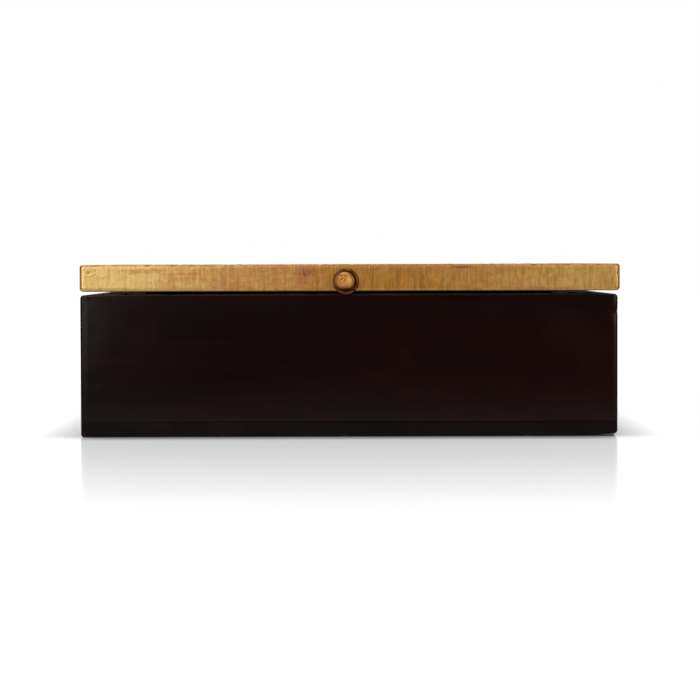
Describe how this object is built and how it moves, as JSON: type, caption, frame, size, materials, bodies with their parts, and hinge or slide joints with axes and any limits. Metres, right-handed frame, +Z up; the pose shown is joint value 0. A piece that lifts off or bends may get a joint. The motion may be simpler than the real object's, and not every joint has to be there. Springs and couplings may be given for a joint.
{
  "type": "inlaid wooden box",
  "caption": "Square lidded keepsake box: stained hardwood body, gilded hinged lid frame round an inlaid geometric top, brass knob in front.",
  "frame": {"origin": "middle of the base board's underside", "axes": "+Z up, -Y towards the front with the knob, +X to the right seen from the front"},
  "size_m": [0.254, 0.2649, 0.0813],
  "materials": {
    "lacquered_wood": "mahogany stained hardwood under satin lacquer",
    "base_wood": "blackened hardwood under satin lacquer",
    "gilding": "wood with worn gold leaf over red bole",
    "panel_wood": "plain wood core under the inlay",
    "rosewood": "polished dark wood ground of the inlay",
    "ebony": "polished black wood",
    "red_wood": "polished red wood",
    "mother_of_pearl": "polished mother-of-pearl",
    "bone": "polished bone",
    "velvet": "dark red velvet over card",
    "felt": "brown felt",
    "hinge_brass": "aged brass",
    "screw_brass": "brass with worn slots",
    "knob_brass": "rubbed brass, dark in the recesses",
    "bronzed_brass": "dark bronzed brass",
    "steel_pins": "plain drawn steel",
    "stopping": "dark wax stopping"
  },
  "bodies": {
    "body": {"base_board": "base_wood", "front_wall": "lacquered_wood", "back_wall": "lacquered_wood", "left_wall": "lacquered_wood", "right_wall": "lacquered_wood", "corner_pins": "steel_pins", "pin_filling": "stopping", "base_pins": "steel_pins", "floor_lining": "velvet", "hinge_body_leaf_left": "hinge_brass", "hinge_body_leaf_right": "hinge_brass", "hinge_pin_left": "hinge_brass", "hinge_pin_right": "hinge_brass", "body_leaf_screws": "screw_brass"},
    "lid": {"lid_rail_front": "gilding", "lid_rail_back": "gilding", "lid_rail_left": "gilding", "lid_rail_right": "gilding", "lid_corner_pins": "steel_pins", "lid_pin_filling": "stopping", "lid_panel": "panel_wood", "inlay_ground": "rosewood", "inlay_stringing": "hinge_brass", "inlay_pearl": "mother_of_pearl", "inlay_bone": "bone", "inlay_ebony": "ebony", "inlay_redwood": "red_wood", "lid_lining": "velvet", "lid_stops": "felt", "knob_rosette": "bronzed_brass", "knob": "knob_brass", "knob_stud": "steel_pins", "hinge_lid_leaf_left": "hinge_brass", "hinge_lid_leaf_right": "hinge_brass", "lid_leaf_screws": "screw_brass"}
  },
  "joints": [
    {"name": "lid_hinge", "type": "hinge", "parent": "body", "child": "lid", "pos_m": [0, 0.12535, 0.068], "axis": [-1, 0, 0], "range_deg": [0, 105]}
  ]
}
